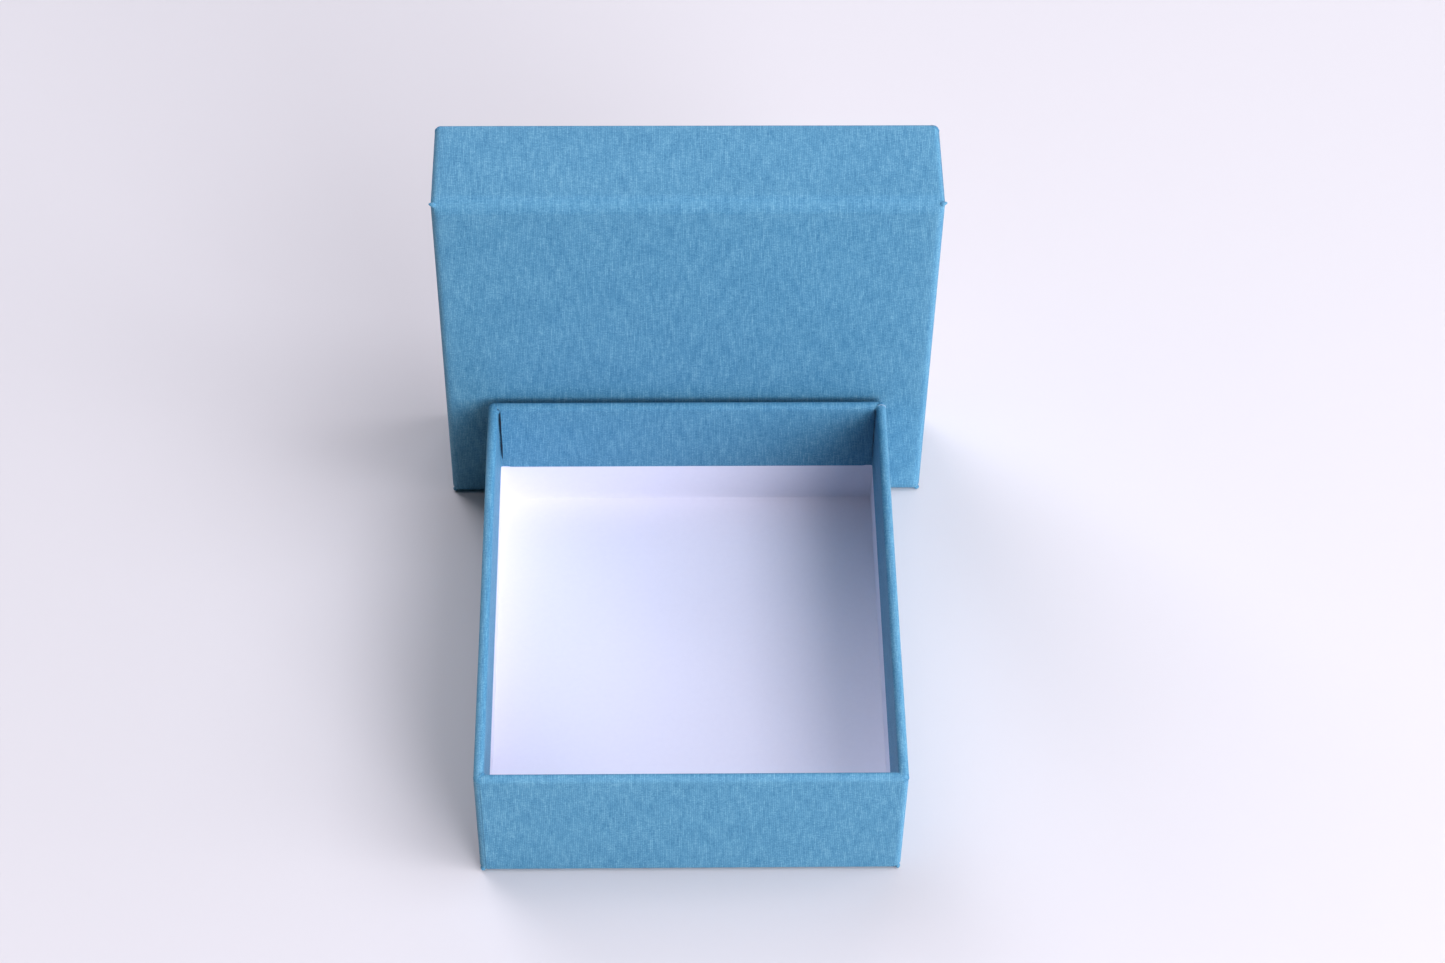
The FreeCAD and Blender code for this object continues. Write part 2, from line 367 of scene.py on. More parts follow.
@dataclass(frozen=True)
class PulpBoard:
    """Recycled pulp pressed and dried: greyboard, or the kraft tape at its corners.

    Darker and lighter fibre flecks show on a dull, slightly rough surface.
    """

    name: str
    colour: str
    fleck: str
    fleck_mm: float
    fibre_stretch: float

    def material(self) -> bpy.types.Material:
        """Build the shader."""
        material, tree, output = new_material(self.name)
        place = add_node(tree, "ShaderNodeTexCoord").outputs["Object"]
        laid = add_node(tree, "ShaderNodeMapping", {"Scale": (1.0, self.fibre_stretch, 1.0)},
                        {"Vector": place}).outputs[0]
        fibres = add_node(tree, "ShaderNodeTexNoise",
                          {"Scale": 1 / (self.fleck_mm * MM), "Detail": 6.0, "Roughness": 0.7},
                          {"Vector": laid}).outputs["Fac"]
        colour = add_node(tree, "ShaderNodeMix", {"data_type": "RGBA", 6: linear(self.colour),
                                                  7: linear(self.fleck)}, {0: fibres}).outputs[2]
        bump = add_node(tree, "ShaderNodeBump", {"Strength": 0.4, "Distance": 0.03 * MM},
                        {"Height": fibres}).outputs["Normal"]
        board = add_node(tree, "ShaderNodeBsdfPrincipled", {"Roughness": 0.9, "Specular IOR Level": 0.2},
                         {"Base Color": colour, "Normal": bump})
        tree.links.new(board.outputs[0], output.inputs["Surface"])
        return material


@dataclass(frozen=True)
class TableTop:
    """Matt white laminate under the box, with the faintest unevenness."""

    name: str = "matt white laminate table"
    colour: str = "#DBD9D5"
    shade: str = "#D7D5D2"

    def material(self) -> bpy.types.Material:
        """Build the shader."""
        material, tree, output = new_material(self.name)
        place = add_node(tree, "ShaderNodeTexCoord").outputs["Object"]
        cloud = add_node(tree, "ShaderNodeTexNoise", {"Scale": 6.0, "Detail": 4.0}, {"Vector": place})
        colour = add_node(tree, "ShaderNodeMix", {"data_type": "RGBA", 6: linear(self.colour),
                                                  7: linear(self.shade)}, {0: cloud.outputs["Fac"]})
        top = add_node(tree, "ShaderNodeBsdfPrincipled", {"Roughness": 0.7, "Specular IOR Level": 0.2},
                       {"Base Color": colour.outputs[2]})
        tree.links.new(top.outputs[0], output.inputs["Surface"])
        return material


# --------------------------------------------------------------------------- the box's halves

@dataclass
class Tray:
    """One half's sizes, on its own axes: short side X, long side Y, mouth up along Z."""

    body: str
    width: float
    length: float
    depth: float
    paper: float
    board: float
    lining: float
    turn_in: float
    placement: Matrix
    grain: Grain

    @property
    def wall(self) -> float:
        """Thickness of the whole wall at the rim."""
        return 2 * self.paper + self.board + self.lining

    @property
    def floor(self) -> float:
        """Height of the lining's face above the outside of the floor."""
        return self.paper + self.board + self.lining


def measure_tray(body: str, turned: bool, turn_in: float, grain: Grain) -> Tray:
    """Read one half's sizes from the design model.

    Args:
        body: The half's body name, base or lid.
        turned: Whether the half stands on its long wall with its mouth to the rear.
        turn_in: How far the wrap paper goes down inside the mouth.
        grain: The way of the wrap paper's threads.

    Returns:
        The half's sizes and its placement.
    """
    low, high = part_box(f"{body}_wrap")
    wrap = high - low
    board_low, board_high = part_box(f"{body}_board")
    liner_low, liner_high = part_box(f"{body}_liner")
    paper = ((wrap - (board_high - board_low)).x) / 2
    to_lining = ((wrap - (liner_high - liner_low)).x) / 2
    if turned:
        axes = Matrix(((0, 1, 0), (0, 0, 1), (1, 0, 0))).to_4x4()
        middle = Vector(((low.x + high.x) / 2, low.y, (low.z + high.z) / 2))
        sizes = (wrap.z, wrap.x, wrap.y)
    else:
        axes = Matrix.Identity(4)
        middle = Vector(((low.x + high.x) / 2, (low.y + high.y) / 2, low.z))
        sizes = (wrap.x, wrap.y, wrap.z)
    return Tray(body, *sizes, paper=paper, board=to_lining - paper, lining=LINING_PAPER,
                turn_in=turn_in, placement=Matrix.Translation(middle) @ axes, grain=grain)


def lay_out_sheet(piece: bpy.types.Object, tray: Tray) -> None:
    """Give the mesh a UV map in metres, as it lay on the flat sheet, V along the main threads.

    The way over a fold or a rim is taken square, so that the pattern runs on without a jump.

    Args:
        piece: The mesh object, still on its half's own axes.
        tray: The half's sizes.
    """
    mesh = piece.data
    half = (tray.width / 2, tray.length / 2)
    sheet = mesh.uv_layers.new(name="sheet")
    for polygon in mesh.polygons:
        centre = polygon.center
        axis = 0 if half[0] - abs(centre.x) < half[1] - abs(centre.y) else 1
        inside = half[axis] - abs(centre[axis]) > tray.wall / 2
        for loop in polygon.loop_indices:
            place = mesh.vertices[mesh.loops[loop].vertex_index].co
            out = abs(place[axis])
            flat = [place.x, place.y]
            if centre.z < tray.depth / 2 and not (inside and centre.z > 2 * tray.floor):
                flat[axis] += math.copysign(place.z, centre[axis])
            elif inside:
                flat[axis] = math.copysign(2 * (tray.depth + half[axis]) - out - place.z, centre[axis])
            else:
                flat[axis] = math.copysign(place.z - out + 2 * half[axis], centre[axis])
            sheet.data[loop].uv = flat if tray.grain is Grain.ALONG else flat[::-1]


def mark_folds(piece: bpy.types.Object, tray: Tray, reach: float) -> None:
    """Write how near each point is to a fold or rim, for the paler colour of rubbed wear and painted
    highlight.

    The paler band fades out within the reach, and twice as far on the closed face, where it paints
    the soft highlight along the loose fold.

    Args:
        piece: The mesh object, on its half's own axes.
        tray: The half's sizes.
        reach: How far from a fold the paler band fades out.
    """
    rubbed_and_highlight = piece.data.attributes.new("fold", "FLOAT", "POINT")
    for index, vertex in enumerate(piece.data.vertices):
        gaps = sorted((tray.width / 2 - abs(vertex.co.x), tray.length / 2 - abs(vertex.co.y),
                       min(vertex.co.z, tray.depth - vertex.co.z)))
        # the painted highlight band reaches further on the closed face
        loose = 2.4 if vertex.co.z < NEAR else 1.0
        near = max(0.0, 1 - max(gaps[1], 0.0) / (loose * reach))
        rubbed_and_highlight.data[index].value = near * (0.6 + 0.8 * (noise.noise(vertex.co / (3 * MM)) + 0.3))


@dataclass
class WrapSheet:
    """The paper skin of one half: floor and walls outside, rolled rim, band inside the walls."""

    tray: Tray
    fold_radius: float = 1.2 * MM
    face_fold_radius: float = 1.2 * MM
    looseness: float = 0.0
    loose_reach: float = 5 * MM
    corner_radius: float = 0.95 * MM
    rim_radius: float = 0.7 * MM
    inner_corner: float = 0.25 * MM
    end_recess: float = 0.09 * MM
    thickness: float = 0.06 * MM
    spacing: float = 2.0 * MM
    cockle: float = 0.03 * MM

    def build(self, material: bpy.types.Material) -> bpy.types.Object:
        """Fold the sheet and dress it.

        Args:
            material: The wrap paper's finish.

        Returns:
            The finished piece, in its place.
        """
        tray = self.tray
        length = tray.length - 2 * self.end_recess
        deselect_all()
        bpy.ops.mesh.primitive_cube_add(size=1, location=(0, 0, tray.depth / 2),
                                        scale=(tray.width, length, tray.depth))
        piece = bpy.context.object
        piece.name = f"{tray.body}_wrap_sheet"
        bpy.ops.object.transform_apply(location=True, rotation=False, scale=True)
        self._roll_rim(piece, length)
        self._round_folds(piece, length)
        low = Vector((-tray.width / 2, -length / 2, 0))
        slice_mesh(piece, low, Vector((-low.x, -low.y, tray.depth)), (self.spacing,) * 3)
        lay_out_sheet(piece, tray)
        mark_folds(piece, tray, self.fold_radius)
        self._loosen(piece)
        waves = bpy.data.textures.new(f"{tray.body}_cockle", "CLOUDS")
        waves.noise_scale = 14 * MM
        apply_modifier(piece, "DISPLACE", texture=waves, texture_coords="LOCAL", direction="NORMAL",
                       strength=self.cockle, mid_level=1.0)
        apply_modifier(piece, "SOLIDIFY", thickness=self.thickness, offset=-1.0)
        piece.data.materials.append(material)
        settle(piece, tray.placement)
        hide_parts(f"{tray.body}_wrap")
        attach(piece, tray.body)
        return piece

    def _roll_rim(self, piece: bpy.types.Object, length: float) -> None:
        """Open the top face, carry the paper over the rim and down inside.

        Args:
            piece: The mesh object.
            length: The block's length, without the end flaps.
        """
        tray = self.tray
        select_faces(piece, lambda centre: centre.z > tray.depth - NEAR)
        bpy.ops.mesh.extrude_region_move()
        inner = (tray.width / 2 - tray.wall, tray.length / 2 - tray.wall + self.end_recess)
        bpy.ops.transform.resize(value=(inner[0] / (tray.width / 2), inner[1] / (length / 2), 1),
                                 center_override=(0, 0, tray.depth))
        bpy.ops.mesh.extrude_region_move(TRANSFORM_OT_translate={"value": (0, 0, -tray.turn_in)})
        bpy.ops.mesh.delete(type="FACE")
        bpy.ops.object.mode_set(mode="OBJECT")

    def _round_folds(self, piece: bpy.types.Object, length: float) -> None:
        """Bevel each kind of edge by its own radius.

        Args:
            piece: The mesh object.
            length: The block's length, without the end flaps.
        """
        tray = self.tray
        half = (tray.width / 2, length / 2)
        weights = piece.data.attributes.new("bevel_weight_edge", "FLOAT", "EDGE")
        points = [vertex.co for vertex in piece.data.vertices]
        for index, edge in enumerate(piece.data.edges):
            a, b = (points[i] for i in edge.vertices)
            outside = all(abs(abs(p.x) - half[0]) < NEAR and abs(abs(p.y) - half[1]) < NEAR for p in (a, b))
            if abs(a.z - b.z) > NEAR:
                radius = self.corner_radius if outside else self.inner_corner
            elif a.z < NEAR:
                radius = self.face_fold_radius if abs(a.x - b.x) < NEAR else self.fold_radius
            elif a.z > tray.depth - NEAR and abs(a.length - b.length) < NEAR:
                radius = self.rim_radius
            else:
                radius = 0.0
            weights.data[index].value = radius / self.face_fold_radius
        apply_modifier(piece, "BEVEL", width=self.face_fold_radius, segments=6, limit_method="WEIGHT")

    def _loosen(self, piece: bpy.types.Object) -> None:
        """Let the paper stand a little off the long folds of the closed face."""
        reach, turn = self.loose_reach, self.face_fold_radius
        for vertex in piece.data.vertices:
            off_side, off_face = self.tray.width / 2 - abs(vertex.co.x), vertex.co.z
            away = max(off_side, off_face) / reach
            if away >= 1:
                continue
            ease = 1 - away * away * (3 - 2 * away)
            lift = self.looseness * ease * (1 + 0.3 * noise.noise(vertex.co / (11 * MM)))
            vertex.co.x += math.copysign(lift * max(0.0, 1 - off_side / turn), vertex.co.x)
            vertex.co.z -= lift * max(0.0, 1 - off_face / turn)


@dataclass
class EndFlap:
    """Paper glued up over one end wall, short of the corners, over the rim and down inside."""

    tray: Tray
    end: int
    corner_gap: float = 1.05 * MM
    mitre: float = 0.95 * MM
    thickness: float = 0.1 * MM
    spacing: float = 1.5 * MM
    corner_cut: float = 1.3 * MM
    fold_radius: float = 1.2 * MM
    rim_lift: float = 0.06 * MM

    def build(self, material: bpy.types.Material) -> bpy.types.Object:
        """Fold the flap and dress it.

        Args:
            material: The wrap paper's finish.

        Returns:
            The finished piece, in its place.
        """
        tray = self.tray
        half_width = tray.width / 2 - self.corner_gap
        edge_y = tray.length / 2
        rim = tray.wall / 2
        under = 0.03 * MM
        deselect_all()
        bpy.ops.mesh.primitive_plane_add(size=2 * self.fold_radius,
                                         location=(0, edge_y - 2 * self.fold_radius, under))
        piece = bpy.context.object
        piece.scale.x = half_width / self.fold_radius
        piece.name = f"{tray.body}_end_flap_{'rear' if self.end > 0 else 'front'}"
        bpy.ops.object.transform_apply(location=True, rotation=False, scale=True)
        front = edge_y - self.fold_radius
        select_edges(piece, lambda a, b: min(a.y, b.y) > front - NEAR)
        bpy.ops.mesh.spin(steps=6, angle=math.pi / 2, center=(0, front, under + self.fold_radius),
                          axis=(-1, 0, 0))
        top = tray.depth - rim + self.rim_lift
        rise = top - under - self.fold_radius
        bpy.ops.mesh.extrude_region_move(TRANSFORM_OT_translate={"value": (0, 0, rise)})
        bpy.ops.mesh.spin(steps=10, angle=math.pi, center=(0, edge_y - rim, top), axis=(-1, 0, 0))
        drop = tray.turn_in - rim + self.rim_lift
        bpy.ops.mesh.extrude_region_move(TRANSFORM_OT_translate={"value": (0, 0, -drop)})
        bpy.ops.object.mode_set(mode="OBJECT")
        self._mitre(piece, half_width)
        self._round_corners(piece)
        low, high = Vector((-half_width, 0, 0)), Vector((half_width, edge_y, tray.depth))
        slice_mesh(piece, low, high, (self.spacing, 0, self.spacing))
        lay_out_sheet(piece, tray)
        mark_folds(piece, tray, self.fold_radius)
        bpy.ops.object.mode_set(mode="EDIT")
        bpy.ops.mesh.select_all(action="SELECT")
        bpy.ops.mesh.normals_make_consistent(inside=False)
        bpy.ops.object.mode_set(mode="OBJECT")
        apply_modifier(piece, "SOLIDIFY", thickness=self.thickness, offset=-1.0)
        piece.data.materials.append(material)
        turn = Matrix.Identity(4) if self.end > 0 else Matrix.Rotation(math.pi, 4, "Z")
        settle(piece, tray.placement @ turn)
        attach(piece, tray.body)
        return piece

    def _mitre(self, piece: bpy.types.Object, half_width: float) -> None:
        """Narrow the flap across the rim, so that it fits between the side walls.

        Args:
            piece: The mesh object.
            half_width: Half the flap's width on the outside.
        """
        tray = self.tray
        outer = tray.length / 2
        for vertex in piece.data.vertices:
            if vertex.co.z < tray.depth - tray.turn_in - NEAR or vertex.co.y > outer - NEAR:
                continue
            if vertex.co.y < outer - 2 * self.fold_radius and vertex.co.z < NEAR * 4:
                continue
            across = min(1.0, (outer - vertex.co.y) / tray.wall)
            vertex.co.x *= 1 - across * self.mitre / half_width

    def _round_corners(self, piece: bpy.types.Object) -> None:
        """Round the two lower corners of the turned-in edge."""
        level = self.tray.depth - self.tray.turn_in + NEAR
        inside = self.tray.length / 2 - self.tray.wall + NEAR
        bpy.ops.object.mode_set(mode="EDIT")
        bpy.ops.mesh.select_mode(type="VERT")
        bpy.ops.mesh.select_all(action="DESELECT")
        bpy.ops.object.mode_set(mode="OBJECT")
        for vertex in piece.data.vertices:
            vertex.select = vertex.co.z < level and vertex.co.y < inside and vertex.co.z > MM
        bpy.ops.object.mode_set(mode="EDIT")
        bpy.ops.mesh.bevel(offset=self.corner_cut, segments=5, affect="VERTICES")
        bpy.ops.object.mode_set(mode="OBJECT")


def write_mark(piece: bpy.types.Object, mark: str, amount: Callable[[Vector], float]) -> None:
    """Write one of the wrap paper's marks on every point of a piece.

    Args:
        piece: The mesh object.
        mark: The mark's name: fold for rubbed wear and painted highlight, core for a raw edge, crease for
            painted shade.
        amount: Gives the mark's strength at a point.
    """
    values = piece.data.attributes.new(mark, "FLOAT", "POINT")
    for index, vertex in enumerate(piece.data.vertices):
        values.data[index].value = amount(vertex.co)


def join(pieces: list[bpy.types.Object], name: str) -> bpy.types.Object:
    """Join meshes into one piece.

    Args:
        pieces: The mesh objects.
        name: The joined piece's name.

    Returns:
        The joined piece.
    """
    deselect_all()
    for piece in pieces:
        piece.select_set(True)
    bpy.context.view_layer.objects.active = pieces[0]
    bpy.ops.object.join()
    pieces[0].name = name
    return pieces[0]


def sliver(tray: Tray, start: Vector, end: Vector, across: Vector, width: float,
           mark: str) -> bpy.types.Object:
    """A narrow tapering strip that lies on the paper: a dark line of painted shade at a crease or seam, or a
    raw edge.

    Args:
        tray: The half's sizes.
        start: Where the strip begins.
        end: Where it runs out.
        across: Its sideways direction.
        width: Its greatest width.
        mark: The paper mark it carries, crease for painted shade or core for a raw edge.

    Returns:
        The strip, with a closed skin.
    """
    along = end - start
    side = across.normalized()
    out = along.cross(side).normalized()
    deselect_all()
    bpy.ops.mesh.primitive_grid_add(x_subdivisions=10, y_subdivisions=2, size=1)
    piece = bpy.context.object
    for vertex in piece.data.vertices:
        run, over = vertex.co.x + 0.5, vertex.co.y
        taper = math.sin(math.pi * min(1.0, 0.12 + run * 0.88)) ** 0.7 if run < 1 else 0.0
        wander = 0.12 * width * math.sin(9 * run)
        crown = 0.25 * width * (1 - 4 * over * over)
        vertex.co = start + along * run + side * (over * width * max(taper, 0.06) + wander) + out * crown
    lay_out_sheet(piece, tray)
    write_mark(piece, mark, lambda _: 1.0)
    apply_modifier(piece, "SOLIDIFY", thickness=0.03 * MM, offset=-1.0)
    return piece


class TuckStyle(Enum):
    """How the paper ends at one corner of the mouth."""

    LOZENGE = "pinched into a small flat lozenge"
    NOTCH = "creased diagonally"
    # the slit is a dark strip of painted shade laid on the paper, not an opening
    GAPING = "left open in a narrow slit"
    CURLED = "curled, with its white edge showing"


@dataclass
class CornerTuck:
    """The paper tucked at one corner of the mouth, where the side wall's rim meets the end flap."""

    tray: Tray
    side: int
    end: int
    style: TuckStyle
    bulge: float = 0.86 * MM
    broad: float = 1.2
    crease_width: float = 0.15 * MM
    stand: float = 0.07 * MM
    slit_length: float = 12.0 * MM

    def build(self, material: bpy.types.Material) -> bpy.types.Object:
        """Shape the tuck and dress it.

        Args:
            material: The wrap paper's finish.

        Returns:
            The finished piece, in its place.
        """
        tray = self.tray
        pieces = [self._bead_end(), self._painted_seam_shade()]
        if self.style is TuckStyle.CURLED:
            pieces.append(self._raw_edge())
        number = 1 + (self.side > 0) + 2 * (self.end > 0)
        piece = join(pieces, f"{tray.body}_corner_tuck_{number}")
        piece.data.materials.append(material)
        settle(piece, tray.placement)
        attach(piece, tray.body)
        return piece

    def _bead_end(self) -> bpy.types.Object:
        """The rounded end of the side wall's rim, pinched along a diagonal crease whose groove is darkened
        with painted shade.
        """
        tray = self.tray
        long = 1.35 if self.style in (TuckStyle.LOZENGE, TuckStyle.GAPING) else 1.1
        middle = Vector((self.side * (tray.width / 2 - self.bulge * self.broad + 0.02 * MM),
                         self.end * (tray.length / 2 - self.bulge * long + 0.02 * MM),
                         tray.depth - self.bulge + self.stand))
        deselect_all()
        bpy.ops.mesh.primitive_uv_sphere_add(segments=40, ring_count=24, radius=self.bulge)
        piece = bpy.context.object
        bpy.ops.object.mode_set(mode="EDIT")
        bpy.ops.transform.resize(value=(self.broad, long, 1.0))
        bpy.ops.object.mode_set(mode="OBJECT")
        crease = Vector((self.side, self.end * 1.25, 0)).normalized()
        across = Vector((crease.y, -crease.x, 0))
        depth = {TuckStyle.LOZENGE: 0.10, TuckStyle.NOTCH: 0.20, TuckStyle.GAPING: 0.26,
                 TuckStyle.CURLED: 0.16}[self.style] * MM
        offset = -self.crease_width * self.side * (1 if self.style is TuckStyle.NOTCH else 2)
        painted_shade_amounts = {}
        for vertex in piece.data.vertices:
            place = vertex.co.copy()
            away = place.dot(across) * self.side - offset * self.side
            fade = max(0.0, min(1.0, 1.6 * place.z / self.bulge))
            groove = math.exp(-(away / self.crease_width) ** 2) * fade
            rough = 1 + 0.05 * noise.noise(place / (0.5 * MM) + Vector((self.side, self.end, 3)))
            vertex.co = place * rough - place.normalized() * depth * groove
            painted_shade_amounts[vertex.index] = groove
        # painted shade in the crease groove, strongest at the groove's middle
        painted_shade_strength = 0.35 if self.style in (TuckStyle.LOZENGE, TuckStyle.CURLED) else 0.9
        values = piece.data.attributes.new("crease", "FLOAT", "POINT")
        for index, groove in painted_shade_amounts.items():
            values.data[index].value = painted_shade_strength * groove
        lay_out_sheet(piece, tray)
        bpy.ops.object.mode_set(mode="EDIT")
        bpy.ops.mesh.select_all(action="SELECT")
        bpy.ops.transform.translate(value=middle)
        bpy.ops.object.mode_set(mode="OBJECT")
        return piece

    def _painted_seam_shade(self) -> bpy.types.Object:
        """A dark strip of painted shade along the line where the end flap stops short of the side wall,
        inside the mouth.
        """
        tray = self.tray
        gaping = self.style is TuckStyle.GAPING
        corner_x = self.side * (tray.width / 2 - tray.wall - (0.34 if gaping else 0.12) * MM)
        corner_y = self.end * (tray.length / 2 - tray.wall - 0.08 * MM)
        top = tray.depth - 0.7 * MM
        drop = self.slit_length if gaping else tray.turn_in - 2 * MM
        # the strip carries the crease mark, painted shade along the seam
        return sliver(tray, Vector((corner_x, corner_y, top)), Vector((corner_x, corner_y, top - drop)),
                      Vector((self.side * self.end, -1, 0)), (0.42 if gaping else 0.12) * MM, "crease")

    def _raw_edge(self) -> bpy.types.Object:
        """The sheet's white edge, curled over the end of the side wall."""
        tray = self.tray
        deselect_all()
        bpy.ops.mesh.primitive_torus_add(major_segments=40, minor_segments=8, major_radius=0.84 * MM,
                                         minor_radius=0.05 * MM, rotation=(math.pi / 2, 0, 0))
        piece = bpy.context.object
        bpy.ops.object.transform_apply(location=False, rotation=True, scale=False)
        bpy.ops.object.mode_set(mode="EDIT")
        bpy.ops.mesh.select_all(action="SELECT")
        bpy.ops.mesh.bisect(plane_co=(0, 0, -0.1 * MM), plane_no=(0.35 * self.side, 0, -1), clear_outer=True,
                            use_fill=True)
        bpy.ops.mesh.select_all(action="SELECT")
        bpy.ops.transform.resize(value=(1.0, 1.6, 1.05))
        bpy.ops.transform.translate(value=(self.side * (tray.width / 2 - 0.82 * MM),
                                           self.end * (tray.length / 2 - 1.15 * MM),
                                           tray.depth - 0.84 * MM + self.stand))
        bpy.ops.object.mode_set(mode="OBJECT")
        lay_out_sheet(piece, tray)
        write_mark(piece, "core", lambda _: 0.35)
        return piece


@dataclass
class PanelEar:
    """The small point of folded paper at one corner of a closed face."""

    tray: Tray
    side: int
    end: int
    reach: float
    radius: float = 0.43 * MM

    def build(self, material: bpy.types.Material) -> bpy.types.Object:
        """Shape the point and dress it.

        Args:
            material: The wrap paper's finish.

        Returns:
            The finished piece, in its place.
        """
        tray = self.tray
        deselect_all()
        bpy.ops.mesh.primitive_uv_sphere_add(segments=24, ring_count=16, radius=self.radius)
        piece = bpy.context.object
        point = Vector((self.side * 0.3, self.end, 0.0)).normalized()
        middle = Vector((self.side * (tray.width / 2 - 0.5 * MM), self.end * (tray.length / 2 - 0.47 * MM),
                         0.6 * MM))
        for vertex in piece.data.vertices:
            pull = max(0.0, vertex.co.normalized().dot(point)) ** 4
            rough = 1 + 0.08 * noise.noise(vertex.co / (0.4 * MM))
            vertex.co = middle + vertex.co * rough + point * pull * self.reach
        lay_out_sheet(piece, tray)
        number = 1 + (self.side > 0) + 2 * (self.end > 0)
        piece.name = f"{tray.body}_panel_ear_{number}"
        piece.data.materials.append(material)
        settle(piece, tray.placement)
        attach(piece, tray.body)
        return piece


@dataclass
class LiningSheet:
    """The white paper inside one half, cockled a little on the floor."""

    tray: Tray
    hem: float = 0.8 * MM
    crease_radius: float = 0.15 * MM
    thickness: float = 0.06 * MM
    spacing: float = 2.0 * MM
    cockle: float = 0.12 * MM

    def build(self, material: bpy.types.Material) -> bpy.types.Object:
        """Fold the lining and dress it.

        Args:
            material: The lining paper's finish.

        Returns:
            The finished piece, in its place.
        """
        tray = self.tray
        inset = tray.paper + tray.board + tray.lining
        width, length = tray.width - 2 * inset, tray.length - 2 * inset
        height = tray.depth - self.hem - tray.floor
        deselect_all()
        bpy.ops.mesh.primitive_cube_add(size=1, location=(0, 0, tray.floor + height / 2),
                                        scale=(width, length, height))
        piece = bpy.context.object
        piece.name = f"{tray.body}_lining_sheet"
        bpy.ops.object.transform_apply(location=True, rotation=False, scale=True)
        select_faces(piece, lambda centre: centre.z > tray.floor + height - NEAR)
        bpy.ops.mesh.delete(type="FACE")
        bpy.ops.object.mode_set(mode="OBJECT")
        select_edges(piece, lambda a, b: max(a.z, b.z) < tray.floor + NEAR)
        bpy.ops.mesh.bevel(offset=self.crease_radius, segments=3)
        bpy.ops.object.mode_set(mode="OBJECT")
        low = Vector((-width / 2, -length / 2, tray.floor))
        slice_mesh(piece, low, Vector((-low.x, -low.y, tray.floor + height)), (self.spacing,) * 3)
        self._cockle(piece, width, length)
        bpy.ops.object.mode_set(mode="EDIT")
        bpy.ops.mesh.select_all(action="SELECT")
        bpy.ops.mesh.flip_normals()
        bpy.ops.object.mode_set(mode="OBJECT")
        apply_modifier(piece, "SOLIDIFY", thickness=self.thickness, offset=-1.0)
        piece.data.materials.append(material)
        settle(piece, tray.placement)
        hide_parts(f"{tray.body}_liner")
        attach(piece, tray.body)
        return piece

    def _cockle(self, piece: bpy.types.Object, width: float, length: float) -> None:
        """Lift the floor paper slightly, and leave a soft uneven bead along its creases.

        Args:
            piece: The mesh object.
            width: The floor's width.
            length: The floor's length.
        """
        floor = self.tray.floor
        for vertex in piece.data.vertices:
            place = vertex.co
            if place.z > floor + 2 * self.crease_radius:
                continue
            to_wall = min(width / 2 - abs(place.x), length / 2 - abs(place.y))
            swell = 0.5 + 0.5 * noise.noise(place / (9 * MM))
            bead = math.exp(-((to_wall - 1.2 * MM) / (0.9 * MM)) ** 2)
            vertex.co.z += self.cockle * (0.4 * swell + 0.8 * swell * bead)


TUCKS = {(-1, -1): TuckStyle.LOZENGE, (1, -1): TuckStyle.NOTCH,
         (-1, 1): TuckStyle.GAPING, (1, 1): TuckStyle.CURLED}


@dataclass
class BoxHalf:
    """Everything that shows on one half: wrap, flaps, lining and the bare board parts."""

    tray: Tray
    finishes: dict[str, bpy.types.Material]

    def build(self) -> list[bpy.types.Object]:
        """Make the half's pieces and dress its design parts.

        Returns:
            The new pieces.
        """
        wrap = self.finishes["wrap_paper"]
        lid = self.tray.body == "lid"
        loose = {"face_fold_radius": LID_FOLD, "looseness": LID_LOOSENESS} if lid else {}
        pieces = [WrapSheet(self.tray, **loose).build(wrap)]
        pieces += [EndFlap(self.tray, end).build(wrap) for end in (-1, 1)]
        for (side, end), style in TUCKS.items():
            pieces.append(CornerTuck(self.tray, side, end, style).build(wrap))
            reach = (0.35 if lid and side > 0 else 0.05) * MM
            pieces.append(PanelEar(self.tray, side, end, reach).build(wrap))
        pieces.append(LiningSheet(self.tray).build(self.finishes["lining_paper"]))
        self._dress("board", "greyboard")
        for number in range(1, 5):
            self._dress(f"corner_stay_{number}", "stay_paper")
        return pieces

    def _dress(self, part: str, slot: str) -> None:
        """Give one of the half's design parts its finish.

        Args:
            part: The part's name after the half's own.
            slot: The record's material slot.
        """
        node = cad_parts[f"{self.tray.body}_{part}"]
        node.data.materials.clear()
        node.data.materials.append(self.finishes[slot])


# ------------------------------------------------------------------------------- the studio

@dataclass(frozen=True)
class SoftBox:
    """A square studio light that looks at the box.

    The bearing goes round from the right-hand side towards the front, and the height is above
    the table, both in degrees.
    """

    name: str
    bearing: float
    height: float
    size: float
    watts: float
    colour: str = "#F1EFFF"
    distance: float = 2.0

    def build(self) -> bpy.types.Object:
        """Add the light."""
        round_, up = math.radians(self.bearing), math.radians(self.height)
        place = self.distance * Vector((math.cos(up) * math.cos(round_), -math.cos(up) * math.sin(round_),
                                        math.sin(up)))
        deselect_all()
        bpy.ops.object.light_add(type="AREA", location=place)
        lamp = bpy.context.object
        lamp.name = self.name
        lamp.data.shape = "SQUARE"
        lamp.data.size = self.size
        lamp.data.energy = self.watts
        lamp.data.color = linear(self.colour)[:3]
        lamp.rotation_euler = (Vector((0, 0, 0.02)) - place).to_track_quat("-Z", "Y").to_euler()
        return lamp


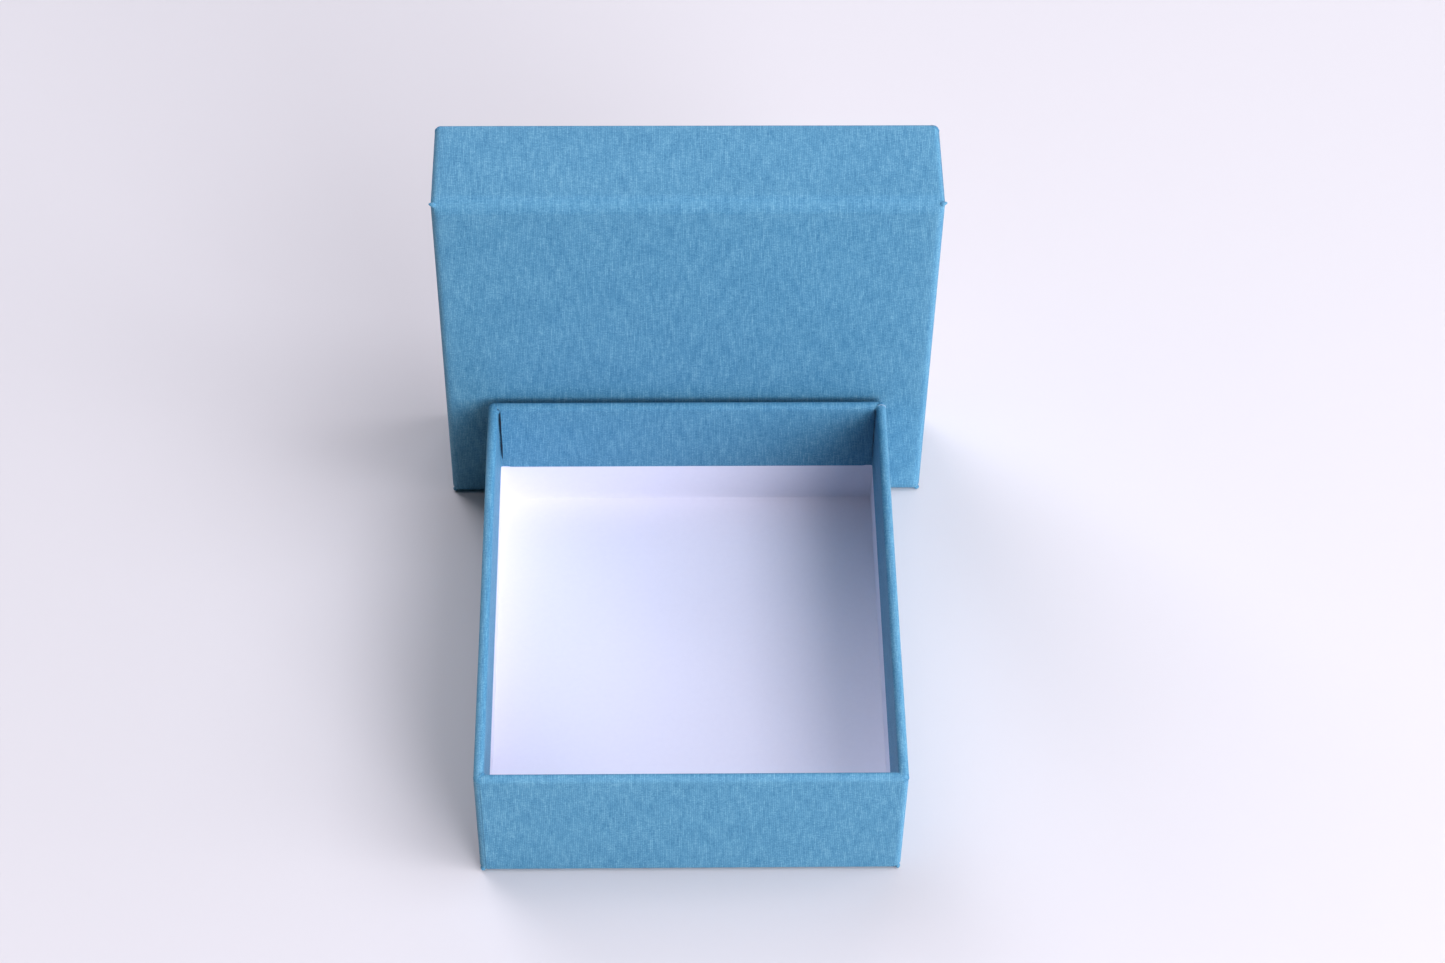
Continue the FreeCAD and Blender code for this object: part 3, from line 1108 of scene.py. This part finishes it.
@dataclass
class Studio:
    """Pale table, a ring of soft boxes strongest on the right, and the camera above the base."""

    table_half: float = 1.5
    backdrop: str = "#F3F2FF"
    lens: float = 79.95
    eye: tuple[float, float, float] = (-0.0048, -0.3112, 0.4257)
    heading: float = -1.793
    tilt: float = 39.63
    roll: float = 1.158
    boxes: tuple[SoftBox, ...] = (
        SoftBox("right_low", 0, 12, 0.8, 11.0),
        SoftBox("front_right_low", 60, 12, 0.8, 13.0),
        SoftBox("rear_right", -75, 35, 0.95, 6.0),
        SoftBox("right_mid", 20, 35, 0.95, 8.5),
        SoftBox("front_mid", 60, 35, 0.95, 10.5),
        SoftBox("rear_left", 235, 35, 0.95, 11.5),
        SoftBox("right_high", 0, 60, 1.0, 13.0),
        SoftBox("rear_left_high", 235, 60, 1.0, 11.0),
        SoftBox("overhead", 0, 88, 1.0, 6.0),
        SoftBox("near_right_low", 30, 20, 0.3, 0.5, distance=0.6),
        SoftBox("near_right_high", 30, 50, 0.3, 0.45, distance=0.6),
        SoftBox("near_front_low", 60, 20, 0.3, 1.0, distance=0.6),
    )

    def build(self) -> None:
        """Make the table, the lights, the backdrop and the camera."""
        deselect_all()
        bpy.ops.mesh.primitive_grid_add(x_subdivisions=8, y_subdivisions=8, size=2 * self.table_half)
        table = bpy.context.object
        table.name = "table_top"
        table.data.materials.append(TableTop().material())
        for box in self.boxes:
            box.build()
        self._backdrop()
        self._camera()

    def _backdrop(self) -> None:
        """Hang a pale backdrop past the table, seen by the camera only, so it lights nothing."""
        world = bpy.data.worlds.new("pale_backdrop")
        world.use_nodes = True
        tree = world.node_tree
        background = tree.nodes["Background"]
        background.inputs["Color"].default_value = linear(self.backdrop)
        path = add_node(tree, "ShaderNodeLightPath")
        tree.links.new(path.outputs["Is Camera Ray"], background.inputs["Strength"])
        bpy.context.scene.world = world
        bpy.context.scene.view_settings.view_transform = "Standard"

    def _camera(self) -> None:
        """Look down on the open base from the front, slightly left of centre."""
        turn = (Matrix.Rotation(math.radians(self.heading), 4, "Z")
                @ Matrix.Rotation(math.radians(self.tilt), 4, "X")
                @ Matrix.Rotation(math.radians(self.roll), 4, "Z"))
        deselect_all()
        bpy.ops.object.camera_add(location=self.eye, rotation=turn.to_euler())
        camera = bpy.context.object
        camera.data.lens = self.lens
        camera.data.sensor_width = 36.0
        camera.data.clip_start = 0.01
        camera.data.dof.use_dof = False
        bpy.context.scene.camera = camera


def main() -> None:
    """Build the box's two halves and the studio."""
    logging.basicConfig(level=logging.INFO, format="%(message)s")
    finishes = {
        "wrap_paper": LinenPaper().material(),
        "lining_paper": LiningPaper().material(),
        "greyboard": PulpBoard("pressed greyboard", "#8E877D", "#6F6A63", 0.5, 0.6).material(),
        "stay_paper": PulpBoard("gummed kraft tape", "#B8925F", "#A17C4C", 0.35, 0.25).material(),
    }
    trays = (measure_tray("base", False, BASE_TURN_IN, Grain.ALONG),
             measure_tray("lid", True, LID_TURN_IN, Grain.ACROSS))
    for tray in trays:
        for piece in BoxHalf(tray, finishes).build():
            LOG.info("built %s, %d faces", piece.name, len(piece.data.polygons))
    Studio().build()
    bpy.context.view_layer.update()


if __name__ == "__main__":
    main()
